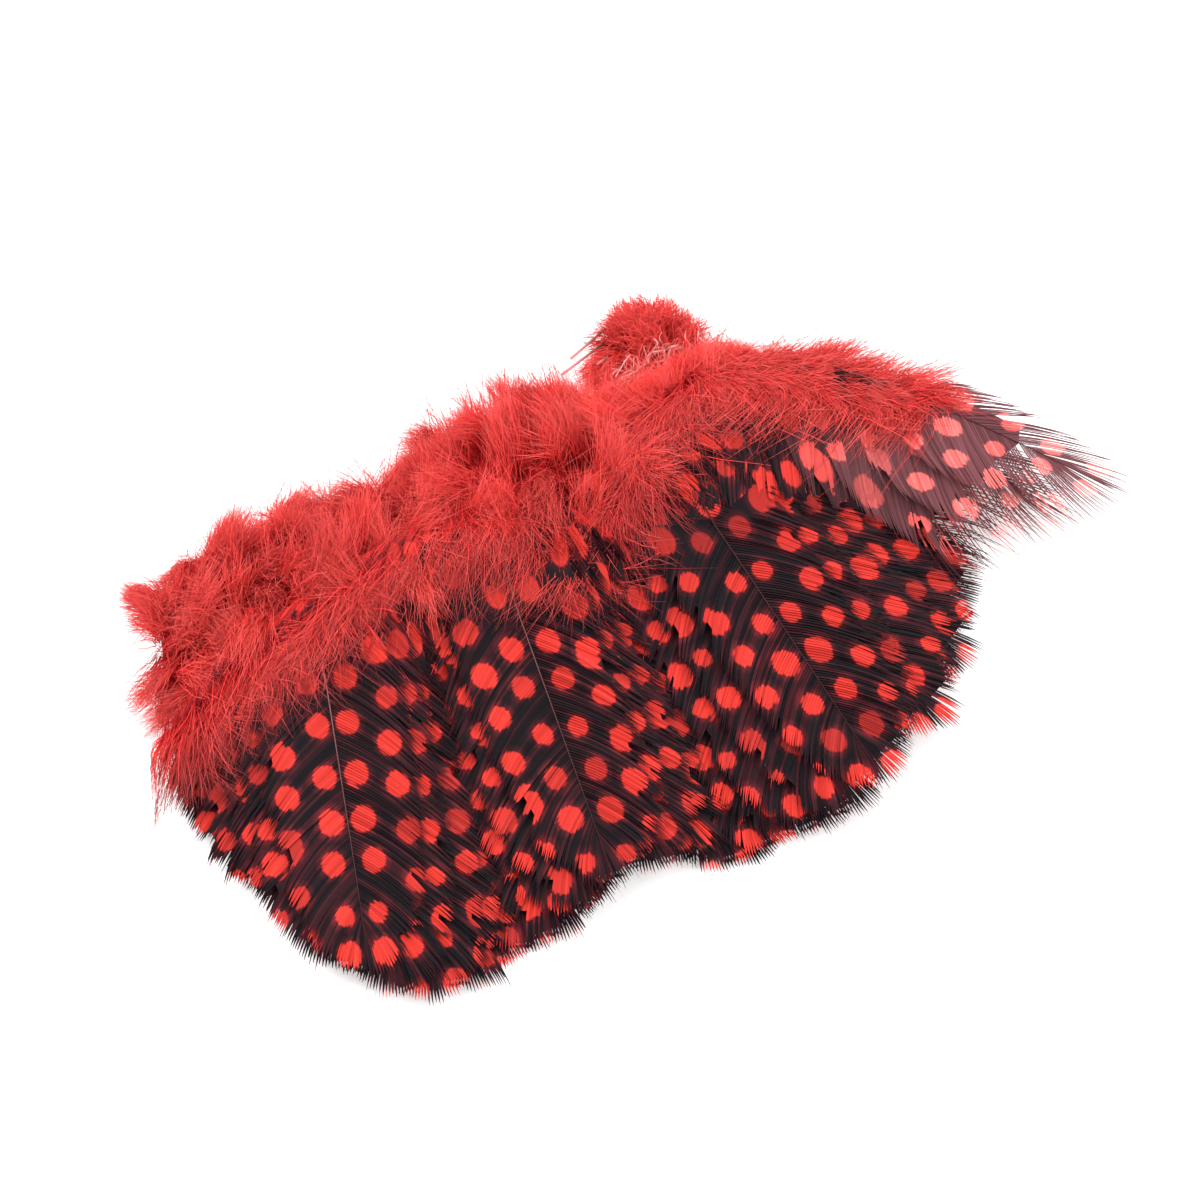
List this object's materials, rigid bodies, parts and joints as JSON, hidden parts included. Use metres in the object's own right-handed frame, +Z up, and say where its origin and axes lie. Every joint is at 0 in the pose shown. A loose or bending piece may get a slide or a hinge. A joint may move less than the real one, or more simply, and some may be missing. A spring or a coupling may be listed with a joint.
{
  "type": "strung bunch of guinea fowl feathers",
  "caption": "Short strip of dyed red guinea fowl body feathers strung on a thread: a fluffy ridge of down with fanned, spotted vanes, lying flat.",
  "frame": {"origin": "on the table, under the thread's middle feather", "axes": "+X along the thread towards the right end of the strip, -Y towards the feathers' tips, +Z up"},
  "size_m": [0.1623, 0.1096, 0.025],
  "materials": {
    "spotted_feather": "dyed feather: soft red down, near-black vane with round orange-red spots and a faint gloss",
    "downy_feather": "dyed red down, matt and fluffy, with pale cut quill ends",
    "thread": "dark red sewing thread, matt"
  },
  "bodies": {
    "root": {"feather_01": "spotted_feather", "feather_02": "spotted_feather", "feather_03": "spotted_feather", "feather_04": "spotted_feather", "feather_05": "spotted_feather", "feather_06": "spotted_feather", "feather_07": "spotted_feather", "feather_08": "spotted_feather", "feather_09": "spotted_feather", "feather_10": "spotted_feather", "feather_11": "spotted_feather", "feather_12": "spotted_feather", "feather_13": "spotted_feather", "feather_14": "spotted_feather", "feather_15": "spotted_feather", "feather_16": "spotted_feather", "feather_17": "spotted_feather", "feather_18": "spotted_feather", "feather_19": "spotted_feather", "feather_20": "spotted_feather", "feather_21": "spotted_feather", "feather_22": "spotted_feather", "feather_23": "spotted_feather", "feather_24": "spotted_feather", "feather_25": "spotted_feather", "feather_26": "spotted_feather", "feather_27": "spotted_feather", "feather_28": "spotted_feather", "feather_29": "spotted_feather", "feather_30": "spotted_feather", "feather_31": "spotted_feather", "feather_32": "spotted_feather", "feather_33": "spotted_feather", "feather_34": "spotted_feather", "feather_35": "spotted_feather", "feather_36": "spotted_feather", "feather_37": "spotted_feather", "feather_38": "spotted_feather", "feather_39": "spotted_feather", "feather_40": "spotted_feather", "feather_41": "spotted_feather", "feather_42": "downy_feather", "feather_43": "downy_feather", "feather_44": "downy_feather", "feather_45": "downy_feather", "thread": "thread"}
  },
  "joints": []
}
